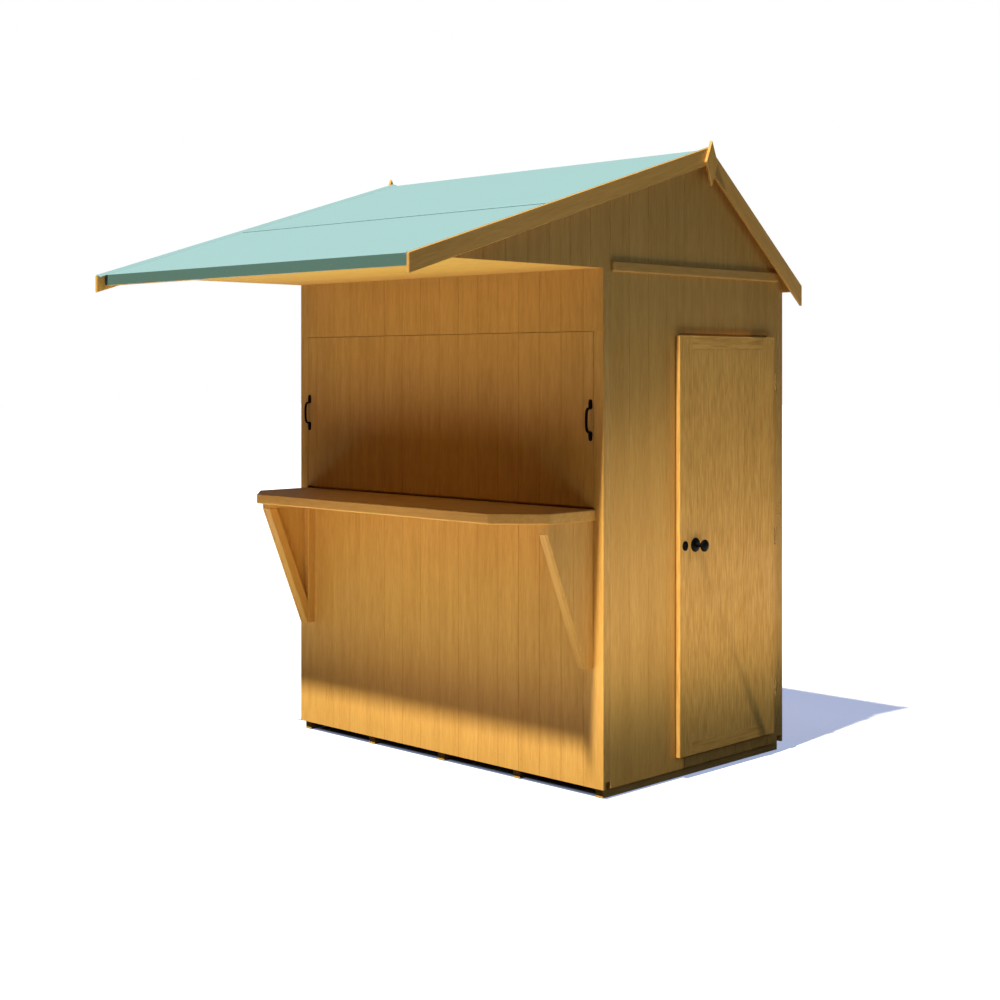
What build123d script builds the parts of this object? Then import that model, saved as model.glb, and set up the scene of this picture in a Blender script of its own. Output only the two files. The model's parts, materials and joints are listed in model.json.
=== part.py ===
from build123d import *
import math
import os

# Timber garden bar: a boarded cabin of nominal 6 x 4 ft with a long canopy, a lift-out serving
# hatch over a fixed counter, and a side door. Millimetres. The origin is on the ground under the
# middle of the floor, +X runs to the right along the front, +Y to the rear, +Z up.

# Cabin
cabin_w = 1790.0
cabin_d = 1160.0
eaves_z = 1988.0
cladding_t = 12.0
batten_t = 28.0
batten_w = 45.0
joint_gap = 0.3
rear_studs = 5
side_studs = 3
short_studs = 3
hatch_studs = 4

# Floor
bearer_w = 38.0
bearer_h = 50.0
bearer_count = 5
floor_t = 12.0
floor_inset = 16.0
cladding_hang = 26.0

# Roof: the rear pitch and the heels over the eaves set the ridge and the front pitch
ridge_y = 11.0
pitch_rear = 39.4
heel_rear = 9.0
heel_front = 3.0
canopy_reach = 989.0
front_drop = 43.0
rear_drop = 49.0
roof_overhang = 35.0
deck_t = 12.0
felt_t = 3.0
felt_seam = 899.0
felt_lap = 60.0
eaves_batten_w = 34.0
soffit_t = 12.0
ridge_beam_h = 70.0
purlin_count = 4
rear_purlin_run = 300.0

# Bargeboards, finials and the cover rail on each gable
barge_t = 13.0
barge_w = 67.0
barge_proud = 8.0
barge_end = 38.0
finial_w = 73.0
finial_up = 88.0
finial_down = 95.0
finial_drop = 63.0
finial_t = 13.0
cover_rail_w = 41.0
cover_rail_t = 12.0
cover_rail_lap = 11.0
cover_rail_gap = 5.0
eased_edge = 4.0

# Serving hatch
hatch_margin = 49.0
hatch_head_drop = 235.0
hatch_gap = 2.0
hatch_lift = 9.0
hatch_frame_gap = 6.0

# Counter on two brackets
counter_z = 1082.0
counter_t = 40.0
counter_margin = 37.0
counter_reach = 404.0
chamfer_x = 170.0
chamfer_y = 148.0
bracket_margin = 50.0
bracket_bar_w = 33.0
bracket_arm_h = 36.0
bracket_reach = 253.0
bracket_drop = 555.0
bracket_toe = 40.0
strut_t = 41.0

# Side door, hinged at its rear edge
door_margin = 94.0
door_w = 635.0
door_foot_z = 88.0
door_head_drop = 247.0
door_t = 19.0
door_gap = 5.0
door_lap = 19.0
door_frame_gap = 8.0
door_stile_w = 78.0
door_rail_w = 52.0
door_ledge_w = 70.0
hinge_count = 3
hinge_h = 75.0
hinge_r = 4.0
hinge_plate_t = 2.0
hinge_plate_w = 24.0
hinge_play = 0.5
hinge_inset = 190.0

# Door furniture
knob_back = 97.0
knob_z = 916.0
knob_r = 25.0
knob_l = 55.0
knob_t = 20.0
knob_neck_r = 9.0
knob_waist_r = 7.5
knob_root_r = 14.0
knob_crown_r = 16.0
knob_crown_t = 2.5
knob_flare_l = 13.0
knob_ease = 3.0
knob_seat = 6.0
knob_seat_gap = 1.0
rose_r = 28.0
rose_t = 7.0
rose_edge_t = 3.0
rose_flat_r = 18.0
spindle_r = 5.0
spindle_bore_r = 7.0
running_fit = 0.08
keyhole_back = 32.0
keyhole_w = 34.0
keyhole_h = 38.0
keyhole_t = 3.0
key_bow_r = 4.0
key_slot_w = 3.5
key_slot_h = 11.0
lock_w = 96.0
lock_h = 74.0
lock_t = 18.0
lock_setback = 3.0

# Pull handles on the hatch
pull_inset = 14.0
pull_h = 158.0
pull_reach = 28.0
pull_plate_w = 21.0
pull_plate_h = 38.0
pull_plate_t = 3.0
pull_tip_w = 11.0
pull_bar_w = 9.0
pull_bar_t = 6.0

# Places that follow from the sizes
half_w = cabin_w / 2
half_d = cabin_d / 2
wall_t = cladding_t + batten_t
side_half = half_d - wall_t
floor_z = bearer_h + floor_t
cladding_z = floor_z - cladding_hang
mid_rail_z = (floor_z + eaves_z - batten_w) / 2
top_rail_z = eaves_z - batten_w

under_deck = felt_t + deck_t
under_rafter = under_deck + batten_w
deck_half = half_w + roof_overhang
rafter_x = half_w - wall_t
felt_front_y = -half_d - canopy_reach
felt_rear_y = half_d + eaves_batten_w + felt_t
soffit_front_y = felt_front_y + felt_t + eaves_batten_w
slant_rear = math.radians(pitch_rear)
ridge_rise = (half_d - ridge_y) * math.tan(slant_rear) + under_deck / math.cos(slant_rear)
ridge_z = eaves_z + heel_rear + ridge_rise
canopy_rise = ridge_z - eaves_z - heel_front
canopy_run = ridge_y - soffit_front_y
slant_front = (math.acos(under_deck / math.hypot(canopy_rise, canopy_run))
               - math.atan2(canopy_run, canopy_rise))

hatch_half = half_w - hatch_margin
counter_half = half_w - counter_margin
bracket_x = half_w - bracket_margin
hatch_head_z = eaves_z - hatch_head_drop
counter_under = counter_z - counter_t
pull_z = (counter_z + hatch_head_z) / 2

door_rear_y = half_d - door_margin
door_front_y = door_rear_y - door_w
door_top_z = eaves_z - door_head_drop
door_x = half_w + door_gap
door_face_x = door_x + door_t
door_back_x = door_x - batten_t
doorway_front = door_front_y + door_lap
doorway_rear = door_rear_y - door_lap
doorway_head = door_top_z - door_lap
hinge_x = door_face_x + hinge_r - hinge_plate_t / 2
hinge_y = door_rear_y + hinge_r
knob_y = door_front_y + knob_back
keyhole_y = door_front_y + keyhole_back


def block(xs, ys, zs):
    """A rectangular timber between two limits on each axis."""
    size = [high - low for low, high in (xs, ys, zs)]
    centre = [(high + low) / 2 for low, high in (xs, ys, zs)]
    return Pos(*centre) * Box(*size)


def across(points, x_low, x_high):
    """A profile of (y, z) points, drawn across the cabin and run along X."""
    face = make_face(Plane.YZ.offset(x_low) * Polyline(*points, close=True))
    return extrude(face, amount=x_high - x_low, dir=(1, 0, 0))


def mirrored(shape):
    """The same piece at the other end of the cabin."""
    return mirror(shape, about=Plane.YZ)


def solids_of(*shapes):
    """Several loose solids that share one node."""
    return Compound(children=[solid for shape in shapes for solid in shape.solids()])


def spread(first, last, count):
    """Evenly spaced places, both ends included."""
    return [first + (last - first) * step / (count - 1) for step in range(count)]


# Walls

def wall_block(side, along, depth, zs):
    """A block in one wall: span along it, depths in from its outer face, heights."""
    near, far = depth
    if side == "front":
        return block(along, (near - half_d, far - half_d), zs)
    if side == "rear":
        return block(along, (half_d - far, half_d - near), zs)
    if side == "left":
        return block((near - half_w, far - half_w), along, zs)
    return block((half_w - far, half_w - near), along, zs)


def cladding(side, along, zs):
    """Vertical boards on the outside of a wall."""
    return wall_block(side, along, (0, cladding_t), zs)


def wall_rail(side, along, foot):
    """A horizontal frame batten whose lower face is at foot."""
    return wall_block(side, along, (cladding_t, wall_t), (foot, foot + batten_w))


def wall_stud(side, low, foot, top, width=batten_w):
    """An upright frame batten from low along the wall, seated between two rails."""
    return wall_block(side, (low, low + width), (cladding_t, wall_t), (foot + joint_gap, top - joint_gap))


def stud_row(side, ends, foot, top, count):
    """Evenly spaced studs between the ends of a wall."""
    return [wall_stud(side, low, foot, top) for low in spread(ends[0], ends[1] - batten_w, count)]


def plain_wall_frame(side, half, count):
    """Frame of a wall without openings: three rails and two tiers of studs."""
    ends = (-half, half)
    rails = [wall_rail(side, ends, foot) for foot in (floor_z, mid_rail_z, top_rail_z)]
    lower = stud_row(side, ends, floor_z + batten_w, mid_rail_z, count)
    upper = stud_row(side, ends, mid_rail_z + batten_w, top_rail_z, count)
    return solids_of(*rails, *lower, *upper)


def front_wall_frame():
    """Frame round the hatch: full posts at the ends, short studs under the sill and over the head."""
    ends = (-half_w, half_w)
    inner = (-half_w + batten_w + joint_gap, half_w - batten_w - joint_gap)
    sill_z = counter_under - batten_w
    rails = [wall_rail("front", ends, floor_z), wall_rail("front", ends, top_rail_z),
             wall_rail("front", inner, sill_z), wall_rail("front", inner, hatch_head_z)]
    posts = stud_row("front", ends, floor_z + batten_w, top_rail_z, 2)
    quarter = half_w / 2
    short = (-quarter - batten_w / 2, quarter + batten_w / 2)
    lower = stud_row("front", short, floor_z + batten_w, sill_z, short_studs)
    upper = stud_row("front", short, hatch_head_z + batten_w, top_rail_z, short_studs)
    return solids_of(*rails, *posts, *lower, *upper)


def right_wall_frame():
    """Frame round the doorway: its foot rail is the threshold."""
    ends = (-side_half, side_half)
    head = (doorway_front + joint_gap, doorway_rear - joint_gap)
    rails = [wall_rail("right", ends, floor_z), wall_rail("right", ends, top_rail_z),
             wall_rail("right", head, doorway_head)]
    foot = floor_z + batten_w
    front_studs = stud_row("right", (-side_half, doorway_front), foot, top_rail_z, 2)
    rear_stud = wall_stud("right", doorway_rear, foot, top_rail_z, side_half - doorway_rear)
    middle = (doorway_front + doorway_rear - batten_w) / 2
    cripple = wall_stud("right", middle, doorway_head + batten_w, top_rail_z)
    return solids_of(*rails, *front_studs, rear_stud, cripple)


def write_walls(nodes):
    full = (-half_w, half_w)
    side = (-side_half, side_half)
    tall = (cladding_z, eaves_z)
    edge = cladding("front", (hatch_half, half_w), (counter_under, hatch_head_z))
    nodes["front_cladding_lower"] = cladding("front", full, (cladding_z, counter_under))
    nodes["front_cladding_sides"] = solids_of(edge, mirrored(edge))
    nodes["front_cladding_upper"] = cladding("front", full, (hatch_head_z, eaves_z))
    nodes["front_wall_frame"] = front_wall_frame()
    nodes["rear_cladding"] = cladding("rear", full, tall)
    nodes["rear_wall_frame"] = plain_wall_frame("rear", half_w, rear_studs)
    nodes["left_cladding"] = cladding("left", side, tall)
    nodes["left_wall_frame"] = plain_wall_frame("left", side_half, side_studs)
    doorway = (doorway_front, doorway_rear)
    nodes["right_cladding_front"] = cladding("right", (-side_half, doorway_front), tall)
    nodes["right_cladding_rear"] = cladding("right", (doorway_rear, side_half), tall)
    nodes["right_cladding_over_door"] = cladding("right", doorway, (doorway_head, eaves_z))
    nodes["right_cladding_sill"] = cladding("right", doorway, (cladding_z, floor_z + batten_w))
    nodes["right_wall_frame"] = right_wall_frame()


# Floor

def write_floor(nodes):
    x = half_w - floor_inset
    ys = (floor_inset - half_d, half_d - floor_inset)
    bearers = [block((low, low + bearer_w), ys, (0, bearer_h))
               for low in spread(-x, x - bearer_w, bearer_count)]
    nodes["floor_bearers"] = solids_of(*bearers)
    nodes["floor_boards"] = block((-x, x), ys, (bearer_h, floor_z))


# Roof

def slope_z(y, depth, front):
    """Height at y of the plane that lies depth below the felt, on the front or the rear slope."""
    slant = slant_front if front else slant_rear
    run = ridge_y - y if front else y - ridge_y
    return ridge_z - run * math.tan(slant) - depth / math.cos(slant)


def slope_y(z, depth, front):
    """Where that plane is at the height z."""
    slant = slant_front if front else slant_rear
    run = (ridge_z - z - depth / math.cos(slant)) / math.tan(slant)
    return ridge_y - run if front else ridge_y + run


def ridge_point(depth):
    """Where the front and rear planes at one depth below the felt meet."""
    drop = depth / math.cos(slant_front) - depth / math.cos(slant_rear)
    y = ridge_y + drop / (math.tan(slant_front) + math.tan(slant_rear))
    return (y, slope_z(y, depth, True))


def strip(y, top, bottom, front):
    """Profile of a layer from y up to the ridge, mitred there."""
    return [(y, slope_z(y, top, front)), ridge_point(top), ridge_point(bottom),
            (y, slope_z(y, bottom, front))]


def felt_lower():
    """The lower front sheet, folded down over the eaves batten."""
    head_y = ridge_y - felt_seam + felt_lap
    drip_z = slope_z(felt_front_y, 0, True) - front_drop
    inner_y = felt_front_y + felt_t
    points = [(felt_front_y, drip_z), (felt_front_y, slope_z(felt_front_y, 0, True)),
              (head_y, slope_z(head_y, 0, True)), (head_y, slope_z(head_y, felt_t, True)),
              (inner_y, slope_z(inner_y, felt_t, True)), (inner_y, drip_z)]
    return across(points, -deck_half, deck_half)


def felt_upper():
    """The upper front sheet, lapped over the lower one."""
    seam_y = ridge_y - felt_seam
    step_y = seam_y + felt_lap + joint_gap
    rise_y = step_y + felt_t
    points = [(seam_y, slope_z(seam_y, -felt_t, True)), (step_y, slope_z(step_y, -felt_t, True)),
              (rise_y, slope_z(rise_y, 0, True)), ridge_point(0), ridge_point(felt_t),
              (step_y, slope_z(step_y, felt_t, True)), (step_y, slope_z(step_y, 0, True)),
              (seam_y, slope_z(seam_y, 0, True))]
    return across(points, -deck_half, deck_half)


def felt_rear():
    """The rear sheet, folded down over its eaves batten."""
    drip_z = slope_z(felt_rear_y, 0, False) - rear_drop
    inner_y = felt_rear_y - felt_t
    points = [(felt_rear_y, drip_z), (felt_rear_y, slope_z(felt_rear_y, 0, False)),
              ridge_point(0), ridge_point(felt_t),
              (inner_y, slope_z(inner_y, felt_t, False)), (inner_y, drip_z)]
    return across(points, -deck_half, deck_half)


def eaves_batten(outer_y, drop, front):
    """A batten under the end of the deck, bevelled to the slope."""
    inner_y = outer_y + (eaves_batten_w if front else -eaves_batten_w)
    felt_y = felt_front_y if front else felt_rear_y
    foot = slope_z(felt_y, 0, front) - drop
    points = [(outer_y, foot), (outer_y, slope_z(outer_y, under_deck, front)),
              (inner_y, slope_z(inner_y, under_deck, front)), (inner_y, foot)]
    return across(points, -deck_half, deck_half)


def gable_panel():
    """The boarded right-hand gable, which runs out under the canopy."""
    points = [(soffit_front_y, eaves_z), (soffit_front_y, slope_z(soffit_front_y, under_deck, True)),
              ridge_point(under_deck), (half_d, slope_z(half_d, under_deck, False)), (half_d, eaves_z)]
    return across(points, half_w - cladding_t, half_w)


def gable_frame():
    """Rafters and ties behind the right-hand gable."""
    xs = (rafter_x, half_w - cladding_t)
    half_beam = batten_t / 2 + joint_gap
    foot = eaves_z + soffit_t
    top = foot + batten_w
    canopy_tie = [(slope_y(foot, under_deck, True), foot), (slope_y(top, under_deck, True), top),
                  (-side_half - joint_gap, top), (-side_half - joint_gap, foot)]
    wall_top = eaves_z + batten_w
    wall_tie = [(-side_half, eaves_z), (side_half, eaves_z),
                (side_half, slope_z(side_half, under_deck, False)),
                (slope_y(wall_top, under_deck, False), wall_top), (-side_half, wall_top)]
    pieces = [across(canopy_tie, *xs), across(wall_tie, *xs)]
    for front, seat in ((True, top + joint_gap), (False, wall_top + joint_gap)):
        beam_y = ridge_y - half_beam if front else ridge_y + half_beam
        rafter = [(slope_y(seat, under_deck, front), seat), (beam_y, slope_z(beam_y, under_deck, front)),
                  (beam_y, slope_z(beam_y, under_rafter, front)),
                  (slope_y(seat, under_rafter, front), seat)]
        pieces.append(across(rafter, *xs))
    return solids_of(*pieces)


def ridge_beam():
    """The beam under the ridge, from gable to gable."""
    half_beam = batten_t / 2
    low, high = ridge_y - half_beam, ridge_y + half_beam
    foot = ridge_z - ridge_beam_h
    points = [(low, foot), (low, slope_z(low, under_deck, True)), ridge_point(under_deck),
              (high, slope_z(high, under_deck, False)), (high, foot)]
    return across(points, cladding_t - half_w, half_w - cladding_t)


def purlin(y, front):
    """A bearer along the roof, between the rafters of the two gables."""
    low, high = y - batten_t / 2, y + batten_t / 2
    foot = slope_z(y, under_deck, front) - batten_w
    points = [(low, foot), (low, slope_z(low, under_deck, front)),
              (high, slope_z(high, under_deck, front)), (high, foot)]
    return across(points, joint_gap - rafter_x, rafter_x - joint_gap)


def roof_purlins():
    lowest = slope_y(eaves_z + soffit_t + batten_w, under_rafter, True)
    front_ys = spread(lowest, ridge_y, purlin_count)[:-1]
    front = [purlin(y, True) for y in front_ys]
    return solids_of(*front, purlin(ridge_y + rear_purlin_run, False))


def bargeboard(y, front):
    """A right-hand bargeboard: plumb cut at its end, mitred at the ridge."""
    return across(strip(y, -barge_proud, barge_w - barge_proud, front), deck_half, deck_half + barge_t)


def finial():
    """The diamond-shaped board over the right-hand mitre."""
    middle = ridge_point(-barge_proud)[1] - finial_drop
    points = [(ridge_y, middle + finial_up), (ridge_y + finial_w / 2, middle),
              (ridge_y, middle - finial_down), (ridge_y - finial_w / 2, middle)]
    start = deck_half + barge_t
    return across(points, start, start + finial_t)


def cover_rail():
    """The rail over the joint between the right-hand wall and its gable."""
    foot = eaves_z - cover_rail_lap
    half = side_half - cover_rail_gap
    piece = block((half_w, half_w + cover_rail_t), (-half, half), (foot, foot + cover_rail_w))
    outer_edges = piece.edges().filter_by(Axis.Y).group_by(Axis.X)[-1]
    return chamfer(outer_edges, eased_edge)


def write_roof(nodes):
    deck_front = felt_front_y + felt_t
    deck_rear = felt_rear_y - felt_t
    nodes["roof_deck_front"] = across(strip(deck_front, felt_t, under_deck, True), -deck_half, deck_half)
    nodes["roof_deck_rear"] = across(strip(deck_rear, felt_t, under_deck, False), -deck_half, deck_half)
    nodes["roof_felt_lower"] = felt_lower()
    nodes["roof_felt_upper"] = felt_upper()
    nodes["roof_felt_rear"] = felt_rear()
    nodes["eaves_batten_front"] = eaves_batten(deck_front, front_drop, True)
    nodes["eaves_batten_rear"] = eaves_batten(deck_rear, rear_drop, False)
    soffit_x = half_w - cladding_t
    soffit_top = eaves_z + soffit_t
    soffit = [(soffit_front_y, eaves_z), (soffit_front_y, slope_z(soffit_front_y, under_deck, True)),
              (slope_y(soffit_top, under_deck, True), soffit_top), (-side_half, soffit_top),
              (-side_half, eaves_z)]
    nodes["canopy_soffit"] = across(soffit, -soffit_x, soffit_x)
    nodes["ridge_beam"] = ridge_beam()
    nodes["roof_purlins"] = roof_purlins()
    front_barge = bargeboard(felt_front_y - barge_end, True)
    rear_barge = bargeboard(felt_rear_y + barge_end, False)
    panel = gable_panel()
    for side, place in (("right", lambda shape: shape), ("left", mirrored)):
        nodes["gable_panel_" + side] = place(panel)
        nodes["bargeboard_front_" + side] = place(front_barge)
        nodes["bargeboard_rear_" + side] = place(rear_barge)
    for node, piece in (("gable_frames", gable_frame()), ("gable_cover_rails", cover_rail()),
                        ("finials", finial())):
        nodes[node] = solids_of(piece, mirrored(piece))


# Serving hatch

def hatch_frame():
    """Battens behind the hatch boards: it stands on the back of the counter."""
    edge = hatch_half - hatch_frame_gap
    top = hatch_head_z - hatch_frame_gap - batten_w
    rails = [wall_rail("front", (-edge, edge), counter_z), wall_rail("front", (-edge, edge), top)]
    return solids_of(*rails, *stud_row("front", (-edge, edge), counter_z + batten_w, top, hatch_studs))


def pear_plate(towards):
    """An end plate, round where the bar is seated and narrow at its tip."""
    round_r = pull_plate_w / 2
    tip_r = pull_tip_w / 2
    tip = Pos(0, towards * (pull_plate_h - round_r - tip_r)) * Circle(tip_r)
    outline = Circle(round_r).edges() + tip.edges()
    return extrude(make_hull(outline), amount=pull_plate_t)


def pull_handle(x):
    """A bowed pull: an oval bar bent to an arc between two pear-shaped plates."""
    wall = Plane(origin=(x, -half_d, pull_z), x_dir=(1, 0, 0), z_dir=(0, -1, 0))
    seat = pull_h / 2 - pull_plate_h + pull_plate_w / 2
    crown = pull_reach - pull_bar_t / 2
    path = ThreePointArc((0, -seat, 0), (0, 0, crown), (0, seat, 0))
    section = Plane(path @ 0, x_dir=(1, 0, 0), z_dir=path % 0) * Ellipse(pull_bar_w / 2, pull_bar_t / 2)
    bow = sweep(section, path)
    behind = Pos(0, 0, -pull_reach / 2) * Box(pull_plate_w, pull_h, pull_reach)
    plates = Pos(0, seat) * pear_plate(1) + Pos(0, -seat) * pear_plate(-1)
    return wall.location * (bow - behind + plates)


def write_hatch(nodes):
    edge = hatch_half - hatch_gap
    nodes["hatch_boards"] = cladding("front", (-edge, edge),
                                     (counter_z + hatch_lift, hatch_head_z - hatch_gap))
    nodes["hatch_frame"] = hatch_frame()
    nodes["hatch_pull_handles"] = solids_of(*[pull_handle(side * (hatch_half - pull_inset))
                                              for side in (-1, 1)])


# Counter

def counter_top():
    """A shelf with cut front corners, notched at the back to pass between the wall edges."""
    inner = hatch_half - hatch_gap
    front = -half_d - counter_reach
    right = [(inner, -side_half), (inner, -half_d), (counter_half, -half_d),
             (counter_half, front + chamfer_y), (counter_half - chamfer_x, front)]
    left = [(-x, y) for x, y in reversed(right)]
    face = make_face(Plane.XY.offset(counter_under) * Polyline(*right, *left, close=True))
    shelf = extrude(face, amount=counter_t)
    lower = shelf.edges().group_by(Axis.Z)[0]
    rim = [edge for edge in lower if edge.center().Y < front + chamfer_y]
    return chamfer(rim, eased_edge)


def strut_line():
    """Front corner under the arm and toe at the foot of a bracket's sloping face."""
    arm_z = counter_under - bracket_arm_h
    return (-half_d - bracket_reach, arm_z), (-half_d - bracket_toe, counter_under - bracket_drop)


def bracket_bars():
    """Arm, wall post and strut of the right-hand bracket."""
    (front_y, arm_z), (toe_y, foot_z) = strut_line()
    xs = (bracket_x - cladding_t - bracket_bar_w, bracket_x - cladding_t)
    arm = block(xs, (front_y, -half_d), (arm_z, counter_under))
    post_y = -half_d - bracket_bar_w
    post = block(xs, (post_y, -half_d), (foot_z, arm_z - joint_gap))
    slope = (toe_y - front_y) / (arm_z - foot_z)
    thick_y = strut_t * math.hypot(1, slope)
    top = arm_z - joint_gap
    seat_y = post_y - joint_gap
    meet_z = arm_z - (seat_y - front_y - thick_y) / slope
    points = [(front_y, top), (toe_y, foot_z), (seat_y, foot_z), (seat_y, meet_z),
              (front_y + thick_y, top)]
    return solids_of(arm, post, across(points, *xs))


def bracket_panel():
    """The boarded outer side of the right-hand bracket."""
    (front_y, arm_z), (toe_y, foot_z) = strut_line()
    points = [(-half_d, counter_under), (front_y, counter_under), (front_y, arm_z),
              (toe_y, foot_z), (-half_d, foot_z)]
    return across(points, bracket_x - cladding_t, bracket_x)


def write_counter(nodes):
    nodes["counter_top"] = counter_top()
    bars = bracket_bars()
    panel = bracket_panel()
    nodes["counter_bracket_right"] = bars
    nodes["counter_bracket_left"] = solids_of(mirrored(bars))
    nodes["bracket_panels"] = solids_of(panel, mirrored(panel))


# Side door

def along_x(x, y, z):
    """A plane at one point that faces outwards along X, with its own x along Y."""
    return Plane(origin=(x, y, z), x_dir=(0, 1, 0), z_dir=(1, 0, 0))


def spindle_bore(x_low, x_high, radius):
    """The hole that the knobs' spindle passes through."""
    return extrude(along_x(x_low, knob_y, knob_z) * Circle(radius), amount=x_high - x_low)


def door_ledges():
    """Stiles and ledges behind the door boards, which close into the doorway."""
    front = doorway_front + door_frame_gap
    rear = doorway_rear - door_frame_gap
    foot = floor_z + batten_w + door_frame_gap
    head = doorway_head - door_frame_gap
    xs = (door_back_x, door_x)
    stiles = [block(xs, ys, (foot, head)) for ys in ((front, front + batten_w), (rear - batten_w, rear))]
    inner = (front + batten_w + joint_gap, rear - batten_w - joint_gap)
    ledges = [block(xs, inner, (low, low + door_ledge_w))
              for low in (foot, knob_z - door_ledge_w / 2, head - door_ledge_w)]
    ledges[1] -= spindle_bore(*xs, spindle_bore_r)
    return solids_of(*stiles, *ledges)


def knob_profile(seat, outward):
    """Half outline of one knob: a neck that flares into a flattened round head."""
    head = knob_l - knob_t
    shoulder = knob_t / 4
    outline = [(0, spindle_r), (0, knob_neck_r), (head - knob_flare_l, knob_neck_r),
               (head - knob_flare_l / 2, knob_waist_r), (head, knob_root_r),
               (head + shoulder, knob_r - knob_ease), (head + 2 * shoulder, knob_r),
               (head + 3 * shoulder, knob_r - knob_ease), (knob_l - knob_crown_t, knob_crown_r),
               (knob_l, 0)]
    return Polyline(*[(seat + outward * along, radius) for along, radius in outline])


def door_knobs():
    """The outer and inner knobs and their spindle, turned in one."""
    outer = door_face_x + knob_seat_gap
    inner = door_back_x - lock_t + knob_seat
    spindle = Line((inner, spindle_r), (outer, spindle_r))
    axis = Line((inner - knob_l, 0), (outer + knob_l, 0))
    face = make_face(knob_profile(outer, 1) + knob_profile(inner, -1) + spindle + axis)
    return Pos(0, knob_y, knob_z) * revolve(face, Axis.X)


def knob_rose():
    """The domed rose round the outer knob's neck."""
    bore = knob_neck_r + running_fit
    rim = Polyline((0, bore), (0, rose_r), (rose_edge_t, rose_r))
    crown = Polyline((rose_edge_t, rose_r), (rose_t, rose_flat_r), (rose_t, bore), (0, bore))
    face = make_face(rim + crown)
    return Pos(door_face_x, knob_y, knob_z) * revolve(face, Axis.X)


def keyhole_plate():
    """An oval plate with a keyhole."""
    plane = along_x(door_face_x, keyhole_y, knob_z)
    oval = Ellipse(keyhole_w / 2, keyhole_h / 2)
    key = Circle(key_bow_r) + Pos(0, -key_slot_h / 2) * Rectangle(key_slot_w, key_slot_h)
    return extrude(plane * (oval - key), amount=keyhole_t)


def rim_lock():
    """The lock case on the middle ledge, inside the cabin."""
    front = doorway_front + door_frame_gap + lock_setback
    case = block((door_back_x - lock_t, door_back_x), (front, front + lock_w),
                 (knob_z - lock_h / 2, knob_z + lock_h / 2))
    case = fillet(case.edges().group_by(Axis.X)[0], eased_edge)
    return case - spindle_bore(door_back_x - lock_t, door_back_x, knob_neck_r + running_fit)


def hinge_places():
    return spread(door_foot_z + hinge_inset, door_top_z - hinge_inset, hinge_count)


def knuckle(low, high):
    return Pos(hinge_x, hinge_y, (low + high) / 2) * Cylinder(hinge_r, high - low)


def hinge_door_leaf(z):
    """The leaf on the door's edge, with the middle knuckle."""
    third = hinge_h / 6
    ys = (door_rear_y, door_rear_y + hinge_plate_t)
    clear_x = hinge_x - hinge_r - hinge_play
    plate = block((door_x + hinge_play, clear_x), ys, (z - hinge_h / 2, z + hinge_h / 2))
    web = block((clear_x, hinge_x), ys, (z - third, z + third))
    return plate + web + knuckle(z - third, z + third)


def hinge_wall_leaf(z):
    """The cranked leaf on the wall, with the upper and lower knuckles."""
    third = hinge_h / 6 + hinge_play
    half = hinge_h / 2
    top_y = hinge_y + hinge_r
    ys = (top_y - hinge_plate_t, top_y)
    clear_x = hinge_x - hinge_r - hinge_play
    leaf = block((half_w, half_w + hinge_plate_t), (ys[0], ys[0] + hinge_plate_w), (z - half, z + half))
    leaf += block((half_w, clear_x), ys, (z - half, z + half))
    for low, high in ((z - half, z - third), (z + third, z + half)):
        leaf += block((clear_x, hinge_x), ys, (low, high))
        leaf += knuckle(low, high)
    return leaf


def write_door(nodes):
    xs = (door_x, door_face_x)
    zs = (door_foot_z, door_top_z)
    edges = ((door_front_y, door_front_y + door_stile_w), (door_rear_y - door_stile_w, door_rear_y))
    inner = (edges[0][1] + joint_gap, edges[1][0] - joint_gap)
    rails = ((zs[0], zs[0] + door_rail_w), (zs[1] - door_rail_w, zs[1]))
    field = (rails[0][1] + joint_gap, rails[1][0] - joint_gap)
    nodes["door_stiles"] = solids_of(*[block(xs, ys, zs) for ys in edges])
    nodes["door_rails"] = solids_of(*[block(xs, inner, heights) for heights in rails])
    nodes["door_boards"] = block(xs, inner, field) - spindle_bore(*xs, spindle_bore_r)
    nodes["door_ledges"] = door_ledges()
    nodes["rim_lock"] = rim_lock()
    nodes["knob_rose"] = knob_rose()
    nodes["keyhole_plate"] = keyhole_plate()
    nodes["door_knobs"] = door_knobs()
    nodes["hinge_door_leaves"] = solids_of(*[hinge_door_leaf(z) for z in hinge_places()])
    nodes["hinge_wall_leaves"] = solids_of(*[hinge_wall_leaf(z) for z in hinge_places()])


def main():
    nodes = {}
    for write in (write_floor, write_walls, write_roof, write_hatch, write_counter, write_door):
        write(nodes)
    os.makedirs("parts", exist_ok=True)
    for node, shape in nodes.items():
        export_step(shape, "parts/" + node + ".step")


main()
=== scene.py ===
"""Looks of the timber garden bar: tongued boards, eased timbers, mineral felt and black ironwork."""

import json
import math
import random

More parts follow.
